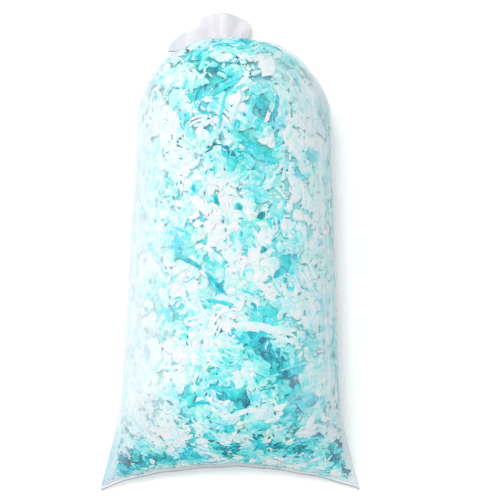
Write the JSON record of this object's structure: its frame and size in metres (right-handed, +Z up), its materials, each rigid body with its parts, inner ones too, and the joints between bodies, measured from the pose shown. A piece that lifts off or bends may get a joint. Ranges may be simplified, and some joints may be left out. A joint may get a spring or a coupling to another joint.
{
  "type": "bag of shredded memory foam",
  "caption": "Clear film bag packed with torn aqua and white foam shreds, welded across its foot and gathered at its neck, lying on its back; refill for cushions and bean bags.",
  "frame": {"origin": "on the floor under the middle of the bag's bounding box", "axes": "+Y from the welded foot to the gathered neck, +X to the right seen from above, +Z up; the bag lies on its back"},
  "size_m": [0.457, 0.8438, 0.205],
  "materials": {
    "clear_film": "clear polyethylene, slightly hazy, gloss",
    "aqua_foam": "open-cell foam, matte",
    "white_foam": "open-cell foam, matte",
    "tie": "paper-plastic laminate, satin"
  },
  "bodies": {
    "root": {"aqua_shreds_01": "aqua_foam", "aqua_shreds_02": "aqua_foam", "aqua_shreds_03": "aqua_foam", "aqua_shreds_04": "aqua_foam", "aqua_shreds_05": "aqua_foam", "aqua_shreds_06": "aqua_foam", "aqua_shreds_07": "aqua_foam", "aqua_shreds_08": "aqua_foam", "aqua_shreds_09": "aqua_foam", "aqua_shreds_10": "aqua_foam", "aqua_shreds_11": "aqua_foam", "aqua_shreds_12": "aqua_foam", "aqua_shreds_13": "aqua_foam", "aqua_shreds_14": "aqua_foam", "aqua_shreds_15": "aqua_foam", "aqua_shreds_16": "aqua_foam", "aqua_shreds_17": "aqua_foam", "aqua_shreds_18": "aqua_foam", "aqua_shreds_19": "aqua_foam", "aqua_shreds_20": "aqua_foam", "aqua_shreds_21": "aqua_foam", "bag_film": "clear_film", "neck_tie": "tie", "white_shreds_01": "white_foam", "white_shreds_02": "white_foam", "white_shreds_03": "white_foam", "white_shreds_04": "white_foam", "white_shreds_05": "white_foam", "white_shreds_06": "white_foam", "white_shreds_07": "white_foam", "white_shreds_08": "white_foam", "white_shreds_09": "white_foam", "white_shreds_10": "white_foam", "white_shreds_11": "white_foam", "white_shreds_12": "white_foam", "white_shreds_13": "white_foam", "white_shreds_14": "white_foam", "white_shreds_15": "white_foam", "white_shreds_16": "white_foam", "white_shreds_17": "white_foam", "white_shreds_18": "white_foam", "white_shreds_19": "white_foam", "white_shreds_20": "white_foam", "white_shreds_21": "white_foam", "white_shreds_22": "white_foam", "white_shreds_23": "white_foam", "white_shreds_24": "white_foam", "white_shreds_25": "white_foam", "white_shreds_26": "white_foam", "white_shreds_27": "white_foam"}
  },
  "joints": []
}
